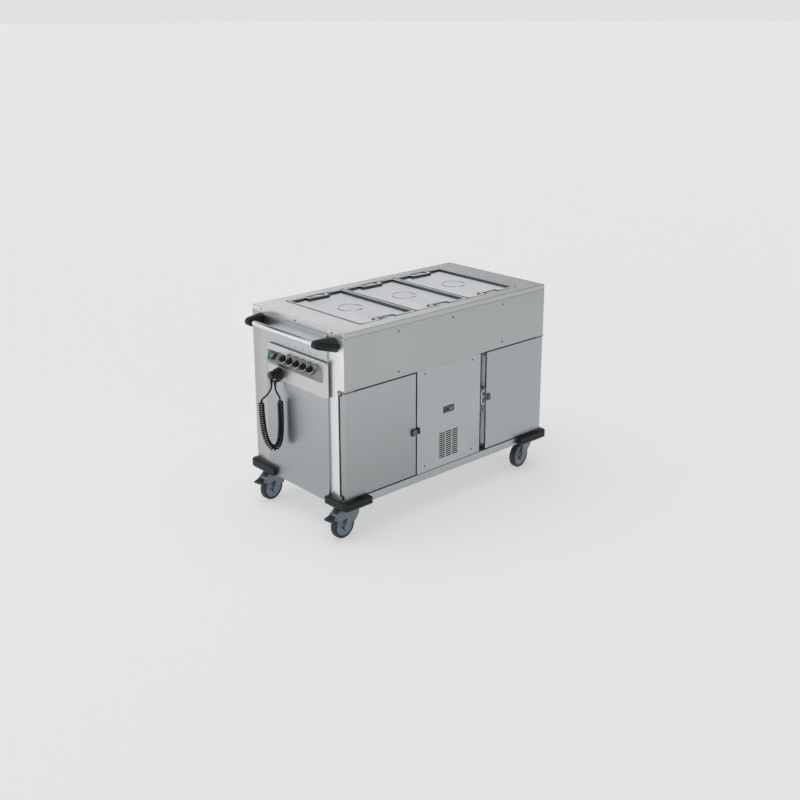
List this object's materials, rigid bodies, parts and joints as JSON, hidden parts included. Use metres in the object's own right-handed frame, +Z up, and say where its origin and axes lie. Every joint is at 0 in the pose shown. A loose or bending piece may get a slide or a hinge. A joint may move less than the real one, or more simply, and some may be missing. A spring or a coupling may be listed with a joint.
{
  "type": "steam table trolley",
  "caption": "Mobile stainless steam table with lidded food wells, hot and cold cabinets, control console, curly mains lead and swivel casters.",
  "frame": {"origin": "on the floor, under the middle of the trolley's box measured without the mains lead", "axes": "+X along the trolley away from the handle end, -Y out of the doors, +Z up"},
  "size_m": [1.4046, 0.716, 0.95],
  "materials": {
    "brushed_stainless": "satin, fine brushed grain",
    "bright_stainless": "smooth pressed sheet",
    "liner_steel": "plain cold rolled",
    "console_steel": "dark satin",
    "chrome_tube": "polished",
    "hinge_steel": "plain",
    "brass": "turned",
    "screw_steel": "plain",
    "black_plastic": "fine moulded texture",
    "knob_plastic": "moulded",
    "switch_green": "lit lens",
    "display_dark": "dark window",
    "bumper_rubber": "moulded",
    "cord_rubber": "smooth jacket",
    "gasket": "soft profile",
    "caster_plastic": "moulded",
    "caster_steel": "zinc plated",
    "tyre": "smooth tread",
    "compressor_black": "gloss enamel",
    "coil_metal": "thin fins",
    "heater_metal": "plain"
  },
  "bodies": {
    "trolley": {"base_frame": "brushed_stainless", "corner_posts": "brushed_stainless", "left_end_panel": "brushed_stainless", "right_end_panel": "brushed_stainless", "back_panel": "brushed_stainless", "upper_front_panel": "brushed_stainless", "centre_front_panel": "brushed_stainless", "deck_top": "brushed_stainless", "control_box": "brushed_stainless", "shelf_runners": "bright_stainless", "wells": "liner_steel", "hot_liner": "liner_steel", "cold_liner": "liner_steel", "console": "console_steel", "push_handle": "chrome_tube", "hinge_brackets": "hinge_steel", "hinge_bushes": "brass", "panel_screws": "screw_steel", "plug_holder": "black_plastic", "cord_gland": "black_plastic", "mains_plug": "black_plastic", "handle_brackets": "black_plastic", "thermostat_display": "display_dark", "bumpers": "bumper_rubber", "mains_cord": "cord_rubber", "caster_plates": "caster_steel", "compressor": "compressor_black", "cooling_coils": "coil_metal", "heating_elements": "heater_metal"},
    "left_door": {"left_door": "brushed_stainless", "left_door_gasket": "gasket", "left_latch_case": "black_plastic"},
    "left_latch": {"left_latch_knob": "black_plastic"},
    "right_door": {"right_door": "brushed_stainless", "right_door_gasket": "gasket", "right_latch_case": "black_plastic"},
    "right_latch": {"right_latch_knob": "black_plastic"},
    "main_switch": {"main_switch": "switch_green"},
    "condenser_fan": {"condenser_fan": "black_plastic"},
    "brake_pedal_1": {"brake_pedal_1": "black_plastic"},
    "brake_pedal_2": {"brake_pedal_2": "black_plastic"},
    "pan_1": {"pan_1": "bright_stainless"},
    "lid_1": {"lid_1": "bright_stainless"},
    "pan_2": {"pan_2": "bright_stainless"},
    "lid_2": {"lid_2": "bright_stainless"},
    "pan_3": {"pan_3": "bright_stainless"},
    "lid_3": {"lid_3": "bright_stainless"},
    "knob_1": {"knob_1": "knob_plastic"},
    "knob_2": {"knob_2": "knob_plastic"},
    "knob_3": {"knob_3": "knob_plastic"},
    "knob_4": {"knob_4": "knob_plastic"},
    "knob_5": {"knob_5": "knob_plastic"},
    "caster_1": {"caster_fork_1": "caster_plastic"},
    "wheel_1": {"wheel_1": "tyre"},
    "caster_2": {"caster_fork_2": "caster_plastic"},
    "wheel_2": {"wheel_2": "tyre"},
    "caster_3": {"caster_fork_3": "caster_plastic"},
    "wheel_3": {"wheel_3": "tyre"},
    "caster_4": {"caster_fork_4": "caster_plastic"},
    "wheel_4": {"wheel_4": "tyre"}
  },
  "joints": [
    {"name": "left_door_hinge", "type": "hinge", "parent": "trolley", "child": "left_door", "pos_m": [-0.603, -0.296, 0.44], "axis": [0, 0, -1], "range_deg": [0, 180]},
    {"name": "right_door_hinge", "type": "hinge", "parent": "trolley", "child": "right_door", "pos_m": [0.667, -0.296, 0.44], "axis": [0, 0, 1], "range_deg": [0, 180]},
    {"name": "left_latch_turn", "type": "hinge", "parent": "left_door", "child": "left_latch", "pos_m": [-0.206, -0.335, 0.407], "axis": [0, -1, 0], "range_deg": [0, 90]},
    {"name": "right_latch_turn", "type": "hinge", "parent": "right_door", "child": "right_latch", "pos_m": [0.279, -0.335, 0.461], "axis": [0, 1, 0], "range_deg": [0, 90]},
    {"name": "pan_1_lift", "type": "slide", "parent": "trolley", "child": "pan_1", "axis": [0, 0, 1], "range_m": [0, 0.2]},
    {"name": "lid_1_lift", "type": "slide", "parent": "pan_1", "child": "lid_1", "axis": [0, 0, 1], "range_m": [0, 0.15]},
    {"name": "pan_2_lift", "type": "slide", "parent": "trolley", "child": "pan_2", "axis": [0, 0, 1], "range_m": [0, 0.2]},
    {"name": "lid_2_lift", "type": "slide", "parent": "pan_2", "child": "lid_2", "axis": [0, 0, 1], "range_m": [0, 0.15]},
    {"name": "pan_3_lift", "type": "slide", "parent": "trolley", "child": "pan_3", "axis": [0, 0, 1], "range_m": [0, 0.2]},
    {"name": "lid_3_lift", "type": "slide", "parent": "pan_3", "child": "lid_3", "axis": [0, 0, 1], "range_m": [0, 0.15]},
    {"name": "knob_1_turn", "type": "hinge", "parent": "trolley", "child": "knob_1", "pos_m": [-0.6395, 0.047, 0.756], "axis": [-0.7176, 0, 0.6965], "range_deg": [0, 270]},
    {"name": "knob_2_turn", "type": "hinge", "parent": "trolley", "child": "knob_2", "pos_m": [-0.6395, -0.002, 0.756], "axis": [-0.7176, 0, 0.6965], "range_deg": [0, 270]},
    {"name": "knob_3_turn", "type": "hinge", "parent": "trolley", "child": "knob_3", "pos_m": [-0.6395, -0.051, 0.756], "axis": [-0.7176, 0, 0.6965], "range_deg": [0, 270]},
    {"name": "knob_4_turn", "type": "hinge", "parent": "trolley", "child": "knob_4", "pos_m": [-0.6395, -0.1, 0.756], "axis": [-0.7176, 0, 0.6965], "range_deg": [0, 270]},
    {"name": "knob_5_turn", "type": "hinge", "parent": "trolley", "child": "knob_5", "pos_m": [-0.6395, -0.149, 0.756], "axis": [-0.7176, 0, 0.6965], "range_deg": [0, 270]},
    {"name": "main_switch_rock", "type": "hinge", "parent": "trolley", "child": "main_switch", "pos_m": [-0.6395, 0.13, 0.756], "axis": [-0.6965, 0, -0.7176], "range_deg": [0, 14]},
    {"name": "condenser_fan_spin", "type": "hinge", "parent": "trolley", "child": "condenser_fan", "pos_m": [0.017, -0.2, 0.295], "axis": [0, 1, 0], "continuous": true},
    {"name": "caster_1_swivel", "type": "hinge", "parent": "trolley", "child": "caster_1", "pos_m": [-0.545, -0.274, 0.148], "axis": [0, 0, 1], "continuous": true},
    {"name": "wheel_1_roll", "type": "hinge", "parent": "caster_1", "child": "wheel_1", "pos_m": [-0.58379, -0.27808, 0.0625], "axis": [-0.1045, 0.9945, 0], "continuous": true},
    {"name": "brake_1_press", "type": "hinge", "parent": "caster_1", "child": "brake_pedal_1", "pos_m": [-0.64147, -0.28414, 0.112], "axis": [0.1045, -0.9945, 0], "range_deg": [0, 12]},
    {"name": "caster_2_swivel", "type": "hinge", "parent": "trolley", "child": "caster_2", "pos_m": [-0.545, 0.264, 0.148], "axis": [0, 0, 1], "continuous": true},
    {"name": "wheel_2_roll", "type": "hinge", "parent": "caster_2", "child": "wheel_2", "pos_m": [-0.58341, 0.25723, 0.0625], "axis": [-0.1736, 0.9848, 0], "continuous": true},
    {"name": "brake_2_press", "type": "hinge", "parent": "caster_2", "child": "brake_pedal_2", "pos_m": [-0.64053, 0.24716, 0.112], "axis": [0.1736, -0.9848, 0], "range_deg": [0, 12]},
    {"name": "caster_3_swivel", "type": "hinge", "parent": "trolley", "child": "caster_3", "pos_m": [0.609, -0.274, 0.148], "axis": [0, 0, 1], "continuous": true},
    {"name": "wheel_3_roll", "type": "hinge", "parent": "caster_3", "child": "wheel_3", "pos_m": [0.57029, -0.27875, 0.0625], "axis": [-0.1219, 0.9925, 0], "continuous": true},
    {"name": "caster_4_swivel", "type": "hinge", "parent": "trolley", "child": "caster_4", "pos_m": [0.609, 0.264, 0.148], "axis": [0, 0, 1], "continuous": true},
    {"name": "wheel_4_roll", "type": "hinge", "parent": "caster_4", "child": "wheel_4", "pos_m": [0.57151, 0.25325, 0.0625], "axis": [-0.2756, 0.9613, 0], "continuous": true}
  ]
}
